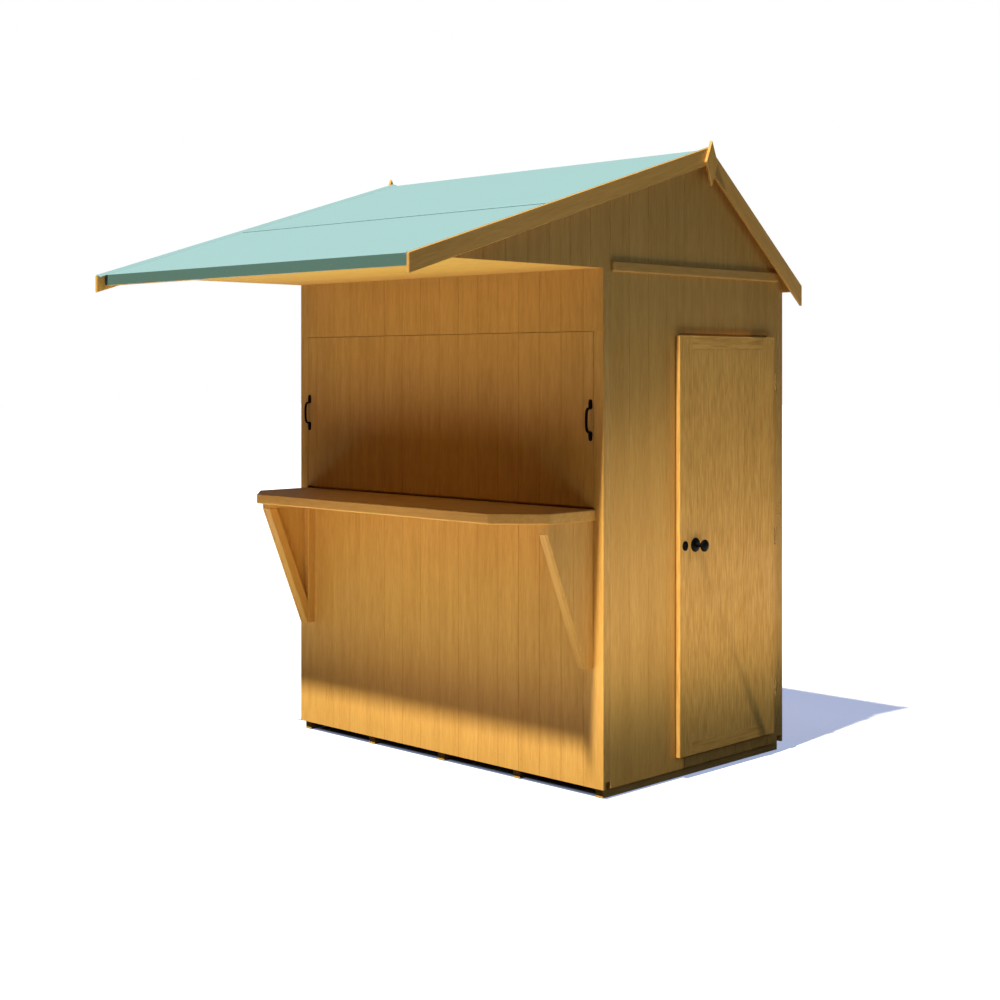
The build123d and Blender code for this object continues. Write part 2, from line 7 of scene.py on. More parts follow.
import bmesh
import bpy
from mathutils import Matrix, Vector

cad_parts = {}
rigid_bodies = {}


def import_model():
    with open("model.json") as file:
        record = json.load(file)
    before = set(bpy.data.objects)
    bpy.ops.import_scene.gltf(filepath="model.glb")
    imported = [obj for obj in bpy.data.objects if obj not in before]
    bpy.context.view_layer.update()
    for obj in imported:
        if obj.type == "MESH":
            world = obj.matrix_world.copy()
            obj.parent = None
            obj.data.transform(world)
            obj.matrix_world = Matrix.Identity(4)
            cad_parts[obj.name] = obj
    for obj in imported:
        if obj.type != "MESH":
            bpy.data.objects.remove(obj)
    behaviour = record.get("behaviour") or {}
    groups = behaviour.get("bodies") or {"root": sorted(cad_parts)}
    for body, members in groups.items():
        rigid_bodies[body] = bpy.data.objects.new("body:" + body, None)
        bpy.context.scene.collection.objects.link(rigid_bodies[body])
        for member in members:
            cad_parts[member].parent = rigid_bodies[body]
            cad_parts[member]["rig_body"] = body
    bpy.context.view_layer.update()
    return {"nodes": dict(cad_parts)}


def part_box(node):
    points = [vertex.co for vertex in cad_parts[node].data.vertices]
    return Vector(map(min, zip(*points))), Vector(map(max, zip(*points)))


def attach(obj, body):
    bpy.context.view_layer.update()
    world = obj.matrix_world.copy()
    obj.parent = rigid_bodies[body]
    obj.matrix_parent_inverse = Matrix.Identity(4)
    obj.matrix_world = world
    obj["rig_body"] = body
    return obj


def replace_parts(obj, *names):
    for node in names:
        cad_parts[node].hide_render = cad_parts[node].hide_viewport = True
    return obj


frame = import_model()
seeded = random.Random(64)

X = Vector((1, 0, 0))
Y = Vector((0, 1, 0))
Z = Vector((0, 0, 1))

# Camera, from the photograph's vanishing points
CAMERA_AT = (4.91682, -5.24727, 1.60100)
CAMERA_TURN = (math.pi / 2 + 0.00049, 0.0, 0.77390)
LENS = 59.288
SENSOR = 36.0
HORIZON_PIXEL = 370.66
IMAGE_SIZE = 1000.0

# Sun and sky
SUN_TRAVEL = (-0.105, 1.0, -1.78)
SUN_POWER = 7.8
SUN_COLOUR = (1.0, 0.94, 0.73)
SUN_WIDTH = 1.4
SKY_COLOUR = (0.70, 0.80, 1.0, 1)
SKY_STRENGTH = 0.01

# Panels beside each wall: name, gap, height, facing as (across, up), width, glow
WALL_PANELS = (
    ("low", 0.471, 0.30, (0.3, 1.0), 0.2, (1.60, 1.35, 0.50)),
    ("mid", 0.621, 0.45, (0.3, 1.0), 0.2, (2.60, 1.35, 0.05)),
    ("wide", 0.821, 0.55, (0.7, 0.7), 0.2, (3.15, 4.00, 4.60)),
    ("high", 1.521, 2.20, (1.0, 0.0), 0.6, (0.66, 0.86, 0.97)),
)
SIDE_PANEL_Y = -0.42
SIDE_PANEL_LENGTH = 2.4
REAR_PANEL_LENGTH = 3.6

# Panels in front and under the canopy: name, place, facing, size, glow
FRONT_PANELS = (
    ("front_near", (0.0, -1.60, 0.01), (0, 0, 1), (1.9, 0.7), (3.84, 3.28, 2.50)),
    ("front_mid", (0.0, -2.40, 0.01), (0, 0, 1), (1.9, 0.9), (3.40, 2.60, 3.20)),
    ("under_counter", (0.0, -1.20, 0.30), (0, 0, 1), (1.8, 0.2), (2.15, 3.18, 0.80)),
    ("under_canopy", (0.0, -1.30, 1.15), (0, -0.35, 1), (2.1, 0.2), (2.40, 4.10, 2.40)),
)

# Floor
FLOOR_HALF = 60
FLOOR_DROP = 0.001
FLOOR_COLOUR = (0.62, 0.62, 0.61, 1)
FLOOR_GLOW = (0.355, 0.415, 0.620, 1)
FLOOR_DULL = (0.02, 0.02, 0.02, 1)
GLOW_EDGE = 0.04
GLOW_NEAR = (0.05, 0.88)
GLOW_FAR = (0.75, 1.0)

# Timbers
SAWN_EASED = 0.0015
TRIM_EASED = 0.002
DOOR_EASED = 0.0007
GRAIN_REACH = 40

# Grain points to this side, never square to it, so that its sense is the same each time
GRAIN_SIGN = Vector((1.0, 1.01, 1.02))

# Tongued boards
BOARD_PITCH = 0.1126
CHAMFER = 0.0012
TONGUE = 0.004
TONGUE_T = 0.003
TONGUE_PLAY = 0.0002
JOINT = 0.0003
SLIVER = 0.006
SLANT = 0.01
DOOR_HEAD_GAP = 0.0105
PAIRED = ("bracket_panels",)

# Felt
FELT_EASED = 0.0012
FELT_WRAP_T = 0.0008
FELT_UPTURN = 0.0078
FELT_CANT = 0.020
BARE_EDGE = 0.005
STRIP_END = 0.001
SHEET_FACE = 0.02

# Nails
CLOUT_STEP = 0.10
CLOUT_END = 0.03
CLOUT_EDGE = 0.020
CLOUT_LAP = 0.018
CLOUT_R = 0.0030
CLOUT_RISE = 0.0004
PIN_R = 0.0013
PIN_RISE = 0.0003
PIN_WANDER = 0.002
PIN_IN = 0.0225
PIN_EDGE = 0.016
HEAD_SIDES = 10

# Pull handles
PLATE_BOX = 0.021
PLATE_H = 0.038
PLATE_R = 0.0105
PLATE_TIP_R = 0.0088
PLATE_T = 0.003
PLATE_STEPS = 12
BOW_REACH = 0.028
BOW_W = 0.0125
BOW_T = 0.0085
BOW_SINK = 0.001
BOW_STEPS = 32
BOW_SIDES = 14
BOW_SQUARE = 0.55

# Knobs, as (distance from the seat, radius)
SPINDLE_R = 0.005
SPINDLE_SEAT = 0.001
KNOB_NECK = [(0.0, SPINDLE_R), (0.0, 0.009), (0.010, 0.009)]
KNOB_CORNERS = [(0.022, 0.009), (0.0285, 0.0075), (0.035, 0.014), (0.040, 0.0225), (0.045, 0.0248),
                (0.050, 0.0225), (0.0525, 0.016), (0.055, 0.009), (0.055, 0.0004)]
KNOB_ROUNDS = 3
KNOB_SIDES = 40

# Hinges, lock and keyhole
IRON_EASED = 0.0005
SCREW_R = 0.0032
SCREW_RISE = 0.0011
HINGE_T = 0.002
HINGE_SCREW_IN = 0.010
HINGE_SCREW_STEP = 0.026
LOCK_SCREW_IN = 0.012
# Outline and depth of the black sheet of painted shade in the keyhole
KEYHOLE = ((-0.006, -0.013), (0.006, -0.013), (0.006, 0.007), (-0.006, 0.007))
KEYHOLE_SINK = (0.0001, 0.0006)

# Stains of the wood, and the painted shade on the counter's top
BOARD_STAIN = {"pale": (0.73, 0.410, 0.110), "deep": (0.50, 0.250, 0.052),
               "tone_share": 0.04, "rough": 0.62}
TRIM_STAIN = {"pale": (0.73, 0.410, 0.112), "deep": (0.51, 0.255, 0.054),
              "streaks": 0.38, "tone_share": 0.05, "rough": 0.58}
# Painted shade: a colour factor that darkens the counter's upward faces
COUNTER_TOP_SHADE = (0.66, 0.72, 1.0)

# Figure of the wood, as scales along the grain and both ways across it
STREAK_SCALE = (11, 120, 120)
BAND_SCALE = (1.6, 30, 30)
DRIFT_SCALE = (1.1, 5, 5)
PORE_SCALE = (24, 480, 480)

# Colours of the felt and the iron
FELT_DEEP = (0.161, 0.283, 0.354, 1)
FELT_PALE = (0.198, 0.327, 0.400, 1)
FELT_SPECK = (0.10, 0.21, 0.25, 1)
# Painted shade on the felt's near-upright faces, such as its edges and fascia
FELT_UPRIGHT_SHADE = (0.072, 0.150, 0.140, 1)
IRON_BLACK = (0.0015, 0.0015, 0.002, 1)
IRON_DUSTY = (0.006, 0.0055, 0.005, 1)

# Tolerances in metres, and angles in degrees
WELD = 1e-5
CUT = 1e-6
FLAT_ANGLE = 1
TIMBER_SHARP = 30
IRON_SHARP = 50
HEAD_SMOOTH = 40
IRON_SMOOTH = 35


# Meshes

def welded(node):
    """A node's mesh with its corners joined and its flat faces whole."""
    bm = bmesh.new()
    bm.from_mesh(frame["nodes"][node].data)
    bmesh.ops.remove_doubles(bm, verts=bm.verts, dist=WELD)
    bmesh.ops.dissolve_limit(bm, angle_limit=math.radians(FLAT_ANGLE), verts=bm.verts,
                             edges=bm.edges)
    bmesh.ops.recalc_face_normals(bm, faces=bm.faces)
    return bm


def islands(bm):
    """The loose parts of a mesh, each as a list of vertices."""
    left = set(bm.verts)
    groups = []
    for start in bm.verts:
        if start not in left:
            continue
        left.discard(start)
        group = [start]
        for vert in group:
            for edge in vert.link_edges:
                other = edge.other_vert(vert)
                if other in left:
                    left.discard(other)
                    group.append(other)
        groups.append(group)
    return groups


def span(verts, axis):
    """Lowest and highest place of some vertices along an axis."""
    places = [vert.co.dot(axis) for vert in verts]
    return min(places), max(places)


def longest_edge(verts):
    """Direction of the longest edge of a loose part: the way its grain runs."""
    runs = [edge.verts[1].co - edge.verts[0].co for vert in verts for edge in vert.link_edges]
    runs = [run if run.dot(GRAIN_SIGN) > 0 else -run for run in runs]
    return max(runs, key=lambda run: [round(value, 4) for value in (run.length, *run)]).normalized()


def write_grain(bm, along=None):
    """Give each timber its own place in the grain and its own tone."""
    grain = bm.verts.layers.float_vector.new("grain")
    tone = bm.verts.layers.float.new("tone")
    for part in islands(bm):
        direction = along or longest_edge(part)
        side = direction.cross(Z if abs(direction.z) < 0.7 else X).normalized()
        depth = direction.cross(side)
        start = Vector([seeded.uniform(0, GRAIN_REACH) for _ in range(3)])
        shade = seeded.uniform(-1, 1)
        for vert in part:
            place = Vector((vert.co.dot(direction), vert.co.dot(side), vert.co.dot(depth)))
            vert[grain] = place + start
            vert[tone] = shade


def made_piece(bm, name, like, material, smooth=None):
    """Turn a mesh into a piece that rides on the same body as a solid of the part, with its material.
    """
    bmesh.ops.recalc_face_normals(bm, faces=bm.faces)
    mesh = bpy.data.meshes.new(name)
    bm.to_mesh(mesh)
    bm.free()
    mesh.materials.append(material)
    if smooth is not None:
        mesh.shade_smooth()
        mesh.set_sharp_from_angle(angle=math.radians(smooth))
    piece = bpy.data.objects.new(mesh.name, mesh)
    bpy.context.scene.collection.objects.link(piece)
    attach(piece, frame["nodes"][like]["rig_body"])
    return piece


def stand_in(bm, node, material, smooth=None):
    """Turn a mesh into the piece that stands for a solid of the part."""
    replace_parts(made_piece(bm, node + "_look", node, material, smooth), node)


def ease(bm, width, segments=1, angle=TIMBER_SHARP):
    """Take the sharpness off every outer corner."""
    sharp = [edge for edge in bm.edges
             if len(edge.link_faces) == 2 and edge.calc_face_angle_signed() > math.radians(angle)]
    bmesh.ops.bevel(bm, geom=sharp, offset=width, segments=segments, profile=0.5,
                    affect="EDGES", clamp_overlap=True)


def timbers(node, material, width, along=None):
    """A node's timbers with eased corners, each with its own grain."""
    bm = welded(node)
    ease(bm, width)
    write_grain(bm, along)
    stand_in(bm, node, material)


def bridge(bm, rings):
    """Skin a run of rings with four-sided faces, and close its two ends."""
    count = len(rings[0])
    for near, far in zip(rings, rings[1:]):
        for index in range(count):
            after = (index + 1) % count
            bm.faces.new((near[index], near[after], far[after], far[index]))
    bm.faces.new(rings[0][::-1])
    bm.faces.new(rings[-1])


def round_ring(bm, centre, side, other, wide, deep, count):
    """An ellipse of vertices round a centre."""
    turns = [2 * math.pi * step / count for step in range(count)]
    return [bm.verts.new(centre + side * wide * math.cos(turn) + other * deep * math.sin(turn))
            for turn in turns]


def lathe(bm, profile, place, axis, count):
    """Turn a profile of (distance along, radius) about an axis."""
    side = axis.orthogonal().normalized()
    other = axis.cross(side)
    bridge(bm, [round_ring(bm, place + axis * along, side, other, radius, radius, count)
                for along, radius in profile])


def heads(bm, places, outward, radius, rise):
    """Low domed heads of nails or screws, sunk a little at their rims."""
    dome = [(-0.3 * rise, radius), (0.3 * rise, radius), (0.8 * rise, 0.75 * radius),
            (rise, 0.3 * radius)]
    for place in places:
        lathe(bm, dome, place, outward, HEAD_SIDES)


def rounded(points, rounds):
    """Cut the corners of an open line again and again, its ends kept."""
    for _ in range(rounds):
        cut = [points[0]]
        for first, second in zip(points, points[1:]):
            cut.append([a * 0.75 + b * 0.25 for a, b in zip(first, second)])
            cut.append([a * 0.25 + b * 0.75 for a, b in zip(first, second)])
        points = cut + [points[-1]]
    return points


def spaced(low, high, step):
    """Even places from low to high, about a step apart."""
    count = max(1, round((high - low) / step))
    return [low + (high - low) * index / count for index in range(count + 1)]


# Boards

def section(left, right, back, face, groove, tongue):
    """Cross-section of a board: chamfered face, a groove at its left and a tongue at its right."""
    middle = (back + face) / 2
    reach = math.copysign(1, face - back)
    half = TONGUE_T / 2 * reach
    slack = half + TONGUE_PLAY * reach
    chamfer = CHAMFER * reach
    points = [(left, back)]
    if groove:
        inner = left + TONGUE + TONGUE_PLAY
        points += [(left, middle - slack), (inner, middle - slack),
                   (inner, middle + slack), (left, middle + slack)]
    points += [(left, face - chamfer), (left + CHAMFER, face),
               (right - CHAMFER, face), (right, face - chamfer)]
    if tongue:
        outer = right + TONGUE
        points += [(right, middle + half), (outer, middle + half),
                   (outer, middle - half), (right, middle - half)]
    return points + [(right, back)]


def prism(bm, outline, u, v, w, low, high):
    """Run a cross-section of (u, w) points along v."""
    bridge(bm, [[bm.verts.new(u * a + w * b + v * place) for a, b in outline]
                for place in (low, high)])


def trim_to(bm, planes):
    """Cut a board to the slopes of its panel."""
    for point, normal in planes:
        everything = bm.verts[:] + bm.edges[:] + bm.faces[:]
        cut = bmesh.ops.bisect_plane(bm, geom=everything, plane_co=point, plane_no=normal,
                                     clear_outer=True, dist=CUT)
        edges = [item for item in cut["geom_cut"] if isinstance(item, bmesh.types.BMEdge)]
        if edges:
            bmesh.ops.edgeloop_fill(bm, edges=edges)


def board_lines(low, high, start):
    """Places of the joints between boards, the panel's own edges included."""
    first = math.ceil((low + SLIVER - start) / BOARD_PITCH)
    lines = [low]
    place = start + first * BOARD_PITCH
    while place < high - SLIVER:
        lines.append(place)
        place += BOARD_PITCH
    return lines + [high]


def panel_slopes(part, u, v):
    """Planes of a panel's sloping edges, each with the whole panel behind it."""
    slopes = []
    for one in {one for vert in part for one in vert.link_faces}:
        point = one.calc_center_median()
        slanted = abs(one.normal.dot(u)) > SLANT and abs(one.normal.dot(v)) > SLANT
        if slanted and all((vert.co - point).dot(one.normal) < WELD for vert in part):
            slopes.append((point, one.normal.copy()))
    return sorted(slopes, key=lambda item: tuple(round(value, 5) for value in item[1]))


def add_board(bm, outline, u, v, w, ends, slopes):
    """Add one board to a mesh, cut to the slopes of its panel."""
    one = bmesh.new()
    prism(one, outline, u, v, w, *ends)
    bmesh.ops.recalc_face_normals(one, faces=one.faces)
    trim_to(one, slopes)
    scratch = bpy.data.meshes.new("scratch")
    one.to_mesh(scratch)
    one.free()
    bm.from_mesh(scratch)
    bpy.data.meshes.remove(scratch)


def boards(node, material, u, v, w, start, foot=None):
    """Lay tongued boards over a node's panels: u across them, v along them, w out of their face."""
    panels = welded(node)
    bm = bmesh.new()
    for part in islands(panels):
        outward = w
        if node in PAIRED and sum(vert.co.dot(w) for vert in part) < 0:
            outward = -w
        ends = span(part, v)
        if foot is not None:
            ends = (foot, ends[1])
        slopes = panel_slopes(part, u, v)
        lines = board_lines(*span(part, u), start)
        for index, (left, right) in enumerate(zip(lines, lines[1:])):
            groove = index > 0
            tongue = index < len(lines) - 2
            outline = section(left + JOINT * groove, right - JOINT * tongue,
                              *span(part, outward), groove, tongue)
            add_board(bm, outline, u, v, outward, ends, slopes)
    panels.free()
    write_grain(bm, v)
    stand_in(bm, node, material)


# Materials

class Shader:
    """A short hand for building one node material."""

    def __init__(self, name):
        self.material = bpy.data.materials.new(name)
        self.material.use_nodes = True
        self.tree = self.material.node_tree
        self.bsdf = self.tree.nodes["Principled BSDF"]

    def add(self, kind, inputs=None, **settings):
        """A new node with its settings, and its inputs given or linked."""
        made = self.tree.nodes.new("ShaderNode" + kind)
        for key, value in settings.items():
            setattr(made, key, value)
        for key, value in (inputs or {}).items():
            if isinstance(value, bpy.types.NodeSocket):
                self.tree.links.new(value, made.inputs[key])
            else:
                made.inputs[key].default_value = value
        return made

    def link(self, socket, name):
        """Link a socket to an input of the surface shader."""
        self.tree.links.new(socket, self.bsdf.inputs[name])

    def here(self):
        """Place in the object's own coordinates."""
        return self.add("TexCoord").outputs["Object"]

    def upward(self):
        """How far the surface faces up, from -1 to 1."""
        normal = self.add("NewGeometry").outputs["Normal"]
        return self.add("SeparateXYZ", {0: normal}).outputs["Z"]

    def noise(self, place, scale, detail=3.0, roughness=0.55):
        """Noise whose scale may differ along each axis."""
        stretched = self.add("VectorMath", {0: place, 1: scale}, operation="MULTIPLY")
        node = self.add("TexNoise", {"Vector": stretched.outputs["Vector"], "Scale": 1.0,
                                     "Detail": detail, "Roughness": roughness})
        return node.outputs["Fac"]

    def ranged(self, value, low, high, to_low=0.0, to_high=1.0):
        """Map one range onto another, held at its ends."""
        node = self.add("MapRange", {"Value": value, "From Min": low, "From Max": high,
                                     "To Min": to_low, "To Max": to_high})
        return node.outputs["Result"]

    def mixed(self, factor, first, second, blend="MIX"):
        """Mix two colours, whose inputs are 6 and 7 of the node and their mix its output 2."""
        node = self.add("Mix", {0: factor, 6: first, 7: second}, data_type="RGBA", blend_type=blend)
        return node.outputs[2]

    def maths(self, operation, *values):
        """One step of arithmetic."""
        return self.add("Math", dict(enumerate(values)), operation=operation).outputs[0]

    def bump(self, height, distance, strength):
        """Fine relief on the surface shader."""
        node = self.add("Bump", {"Height": height, "Distance": distance, "Strength": strength})
        self.link(node.outputs["Normal"], "Normal")


def wood(name, pale, deep, streaks, tone_share, rough, top_shade=None):
    """Softwood under a honey stain, with streaks, bands and pores; top_shade paints shade on its
    upward faces.
    """
    make = Shader(name)
    grain = make.add("Attribute", attribute_name="grain").outputs["Vector"]
    tone = make.add("Attribute", attribute_name="tone").outputs["Fac"]
    fine = make.noise(grain, STREAK_SCALE, 3.0, 0.6)
    bands = make.noise(grain, BAND_SCALE, 2.0)
    drift = make.noise(grain, DRIFT_SCALE, 2.0)
    pores = make.noise(grain, PORE_SCALE, 2.0)
    fine_part = make.ranged(fine, 0.34, 0.66, -0.5 * streaks, 0.5 * streaks)
    band_part = make.ranged(bands, 0.34, 0.66, -0.14, 0.14)
    drift_part = make.ranged(drift, 0.3, 0.7, -0.07, 0.07)
    tone_part = make.maths("MULTIPLY", tone, tone_share)
    figure = make.maths("ADD", make.maths("ADD", fine_part, band_part),
                        make.maths("ADD", drift_part, tone_part))
    base = make.mixed(make.ranged(figure, -0.6, 0.6), (*deep, 1), (*pale, 1))
    pitted = make.ranged(pores, 0.60, 0.72, 0.0, 0.16)
    colour = make.mixed(pitted, base, (*[value * 0.45 for value in deep], 1))
    # Painted shade: faces that look up are darkened by the top_shade factor
    if top_shade:
        colour = make.mixed(make.ranged(make.upward(), 0.7, 0.9), colour, (*top_shade, 1), "MULTIPLY")
    make.link(colour, "Base Color")
    make.link(make.ranged(fine, 0.35, 0.65, rough + 0.07, rough - 0.07), "Roughness")
    make.bsdf.inputs["Specular IOR Level"].default_value = 0.35
    make.bump(make.maths("ADD", fine, make.maths("MULTIPLY", pores, 0.35)), 0.0007, 0.55)
    return make.material


def felt(name):
    """Green mineral felt: fine grit in paler and darker patches, and painted shade on its near-upright
    faces.
    """
    make = Shader(name)
    place = make.here()
    grit = make.noise(place, (620, 620, 620), 2.0, 0.7)
    speck = make.noise(place, (260, 260, 260), 1.0)
    patch = make.noise(place, (2.1, 3.4, 3.4), 3.0)
    share = make.maths("ADD", make.ranged(patch, 0.3, 0.7, -0.04, 0.04),
                       make.ranged(grit, 0.3, 0.7, 0.2, 0.8))
    base = make.mixed(share, FELT_DEEP, FELT_PALE)
    top = make.mixed(make.ranged(speck, 0.62, 0.75, 0.0, 0.18), base, FELT_SPECK)
    # Painted shade: near-upright faces take the darker felt colour
    upright_shade = make.ranged(make.maths("ABSOLUTE", make.upward()), 0.12, 0.26, 1.0, 0.0)
    make.link(make.mixed(upright_shade, top, FELT_UPRIGHT_SHADE), "Base Color")
    make.bsdf.inputs["Roughness"].default_value = 0.92
    make.bsdf.inputs["Specular IOR Level"].default_value = 0.2
    make.bump(make.maths("ADD", grit, make.maths("MULTIPLY", patch, 0.6)), 0.0008, 0.4)
    return make.material


def iron(name):
    """Black painted iron with a slight hammered surface and patches of dust."""
    make = Shader(name)
    place = make.here()
    dimples = make.noise(place, (190, 190, 190), 2.0)
    dust = make.noise(place, (40, 40, 40), 3.0)
    dusty = make.ranged(dust, 0.45, 0.75, 0.0, 0.3)
    make.link(make.mixed(dusty, IRON_BLACK, IRON_DUSTY), "Base Color")
    make.link(make.ranged(dust, 0.3, 0.7, 0.38, 0.55), "Roughness")
    make.bsdf.inputs["Specular IOR Level"].default_value = 0.08
    make.bump(dimples, 0.0004, 0.5)
    return make.material


def zinc(name, clean, stained, metal):
    """Dull zinc of nails and hinges, coloured here and there by the stain or the felt's grit."""
    make = Shader(name)
    stain = make.noise(make.here(), (60, 60, 60), 2.0)
    make.link(make.mixed(make.ranged(stain, 0.4, 0.6), (*clean, 1), (*stained, 1)), "Base Color")
    make.bsdf.inputs["Metallic"].default_value = metal
    make.link(make.ranged(stain, 0.3, 0.7, 0.45, 0.7), "Roughness")
    return make.material


BOARDS = wood("board_wood", streaks=0.38, **BOARD_STAIN)
DOOR = wood("door_wood", streaks=0.95, **BOARD_STAIN)
TRIM = wood("trim_wood", **TRIM_STAIN)
COUNTER = wood("counter_wood", top_shade=COUNTER_TOP_SHADE, **TRIM_STAIN)
SAWN = wood("sawn_wood", (0.69, 0.405, 0.125), (0.48, 0.250, 0.062), 0.70, 0.12, 0.72)
# Painted light: a paler copy of the board stain, standing for light bounced up onto the soffit
SOFFIT_PAINTED_BRIGHT = wood("soffit_wood_painted_bright", (0.83, 0.480, 0.132), (0.66, 0.345, 0.078), 0.30, 0.04, 0.62)
FELT = felt("mineral_felt")
IRON = iron("black_iron")
CLOUT = zinc("clout_zinc", (0.13, 0.19, 0.17), (0.09, 0.14, 0.12), 0.35)
PIN = zinc("pin_zinc", (0.36, 0.20, 0.060), (0.25, 0.13, 0.040), 0.15)
HINGE = zinc("stained_hinge_steel", (0.26, 0.155, 0.048), (0.17, 0.095, 0.030), 0.15)


# Boards and timbers

def over_door_foot():
    """Height of the boards over the door, which stop just clear of the leaf's top."""
    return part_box("door_stiles")[1].z + DOOR_HEAD_GAP


def dress_boards():
    """Boards of the walls, gables, hatch, door, soffit, floor and brackets."""
    half_w = -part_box("rear_cladding")[0].x
    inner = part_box("left_cladding")[0].y
    for node in ("front_cladding_lower", "front_cladding_sides", "front_cladding_upper",
                 "hatch_boards"):
        boards(node, BOARDS, X, Z, -Y, -half_w)
    boards("rear_cladding", BOARDS, -X, Z, Y, -half_w)
    boards("left_cladding", BOARDS, -Y, Z, -X, -inner)
    for node in ("right_cladding_front", "right_cladding_rear", "right_cladding_sill",
                 "gable_panel_right"):
        boards(node, BOARDS, Y, Z, X, inner)
    boards("right_cladding_over_door", BOARDS, Y, Z, X, inner, over_door_foot())
    boards("gable_panel_left", BOARDS, -Y, Z, -X, -inner)
    boards("door_boards", DOOR, Y, Z, X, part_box("door_boards")[0].y)
    boards("canopy_soffit", SOFFIT_PAINTED_BRIGHT, Y, X, -Z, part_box("canopy_soffit")[0].y)
    boards("floor_boards", BOARDS, Y, X, Z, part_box("floor_boards")[0].y)
    boards("bracket_panels", BOARDS, Y, Z, X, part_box("bracket_panels")[1].y)


def dress_timbers():
    """Sawn frames and planed trim."""
    for node in ("front_wall_frame", "rear_wall_frame", "left_wall_frame", "right_wall_frame",
                 "gable_frames", "floor_bearers", "roof_purlins", "ridge_beam", "hatch_frame",
                 "roof_deck_front", "roof_deck_rear"):
        timbers(node, SAWN, SAWN_EASED)
    for node in ("bargeboard_front_left", "bargeboard_front_right", "bargeboard_rear_left",
                 "bargeboard_rear_right", "eaves_batten_front", "eaves_batten_rear",
                 "counter_bracket_left", "counter_bracket_right", "door_ledges",
                 "gable_cover_rails"):
        timbers(node, TRIM, TRIM_EASED)
    timbers("counter_top", COUNTER, TRIM_EASED)
    for node in ("door_stiles", "door_rails"):
        timbers(node, DOOR, DOOR_EASED)
    timbers("finials", TRIM, SAWN_EASED, Z)


# Roof

def edge_strips():
    """Felt dressed up a small cant onto each bargeboard's top edge, whose outer rim stays bare."""
    bm = bmesh.new()
    for end in ("front_left", "front_right", "rear_left", "rear_right"):
        board = welded("bargeboard_" + end)
        top = max(board.faces, key=lambda one: (one.normal.z > 0.5) * one.calc_area())
        up = top.normal.copy()
        along = X.cross(up).normalized()
        middle = top.calc_center_median()
        spread = [(vert.co - middle).dot(along) for vert in top.verts]
        half = max(abs((vert.co - middle).x) for vert in top.verts)
        outward = math.copysign(1, middle.x)
        inner = -outward * half
        foot = inner - outward * FELT_CANT
        rim = outward * (half - BARE_EDGE)
        outline = [(foot, -FELT_UPTURN), (inner, FELT_WRAP_T), (rim, FELT_WRAP_T), (rim, 0),
                   (inner, 0), (inner, -FELT_UPTURN)]
        before = len(bm.verts)
        prism(bm, outline, X, along, up, min(spread) + STRIP_END, max(spread) - STRIP_END)
        bm.verts.ensure_lookup_table()
        for vert in bm.verts[before:]:
            vert.co += middle
        board.free()
    made_piece(bm, "felt_edge_strips", "roof_felt_upper", FELT)


def lap_line():
    """A place on the nailing line of the upper sheet's lap, and the way its face looks."""
    sheet = welded("roof_felt_upper")
    wide = [one for one in sheet.faces if one.normal.z > 0.5 and one.calc_area() > SHEET_FACE]
    lap = min(wide, key=lambda one: one.calc_center_median().z)
    up = lap.normal.copy()
    rise = X.cross(up).normalized()
    rise *= math.copysign(1, rise.z)
    seam = min((vert.co for vert in lap.verts), key=lambda place: place.z) + rise * CLOUT_LAP
    sheet.free()
    return seam, up


def felt_nails():
    """Clout nails along the two eaves and the lap of the felt."""
    low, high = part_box("roof_felt_lower")
    rear_low, rear_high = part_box("roof_felt_rear")
    seam, up = lap_line()
    rows = ((low.y, low.z + CLOUT_EDGE, -Y), (rear_high.y, rear_low.z + CLOUT_EDGE, Y),
            (seam.y, seam.z, up))
    across = spaced(low.x + CLOUT_END, high.x - CLOUT_END, CLOUT_STEP)
    bm = bmesh.new()
    for y, z, outward in rows:
        heads(bm, [Vector((x, y, z)) for x in across], outward, CLOUT_R, CLOUT_RISE)
    made_piece(bm, "felt_nails", "roof_felt_upper", CLOUT, HEAD_SMOOTH)


def dress_roof():
    """The three sheets of felt, their turned edges and their nails."""
    for node in ("roof_felt_lower", "roof_felt_upper", "roof_felt_rear"):
        bm = welded(node)
        ease(bm, FELT_EASED, 2)
        stand_in(bm, node, FELT)
    edge_strips()
    felt_nails()


# Pins

def pin_rows():
    """Where each wall's boards are pinned: node, direction along it, outward, heights."""
    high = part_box("front_wall_frame")[1].z - PIN_IN
    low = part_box("front_wall_frame")[0].z + PIN_IN
    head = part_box("front_cladding_upper")[0].z + PIN_IN
    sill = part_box("front_cladding_lower")[1].z - PIN_IN
    middle = (low + high) / 2
    return (("front_cladding_lower", X, -Y, (low, sill)),
            ("front_cladding_upper", X, -Y, (head, high)),
            ("rear_cladding", X, Y, (low, middle, high)),
            ("left_cladding", Y, -X, (low, middle, high)),
            ("right_cladding_front", Y, X, (low, high)),
            ("right_cladding_rear", Y, X, (low, high)),
            ("right_cladding_over_door", Y, X, (over_door_foot() + PIN_EDGE,)))


def pin_places(node, along, outward, heights):
    """Two places across each full board at each height, a little out of line."""
    low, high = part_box(node)
    face = high.dot(outward) if outward.dot(X + Y) > 0 else low.dot(outward)
    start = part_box("rear_cladding")[0].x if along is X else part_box("left_cladding")[0].y
    lines = board_lines(low.dot(along), high.dot(along), start)
    places = []
    for left, right in zip(lines, lines[1:]):
        if right - left < 4 * PIN_EDGE:
            continue
        for place in (left + PIN_EDGE, right - PIN_EDGE):
            for height in heights:
                shift = seeded.uniform(-PIN_WANDER, PIN_WANDER)
                places.append(along * (place + shift) + outward * face + Z * (height + shift))
    return places


def board_pins():
    """Small pins through the boards into the rails."""
    bm = bmesh.new()
    for node, along, outward, heights in pin_rows():
        heads(bm, pin_places(node, along, outward, heights), outward, PIN_R, PIN_RISE)
    made_piece(bm, "board_nails", "front_wall_frame", PIN, HEAD_SMOOTH)


# Ironwork

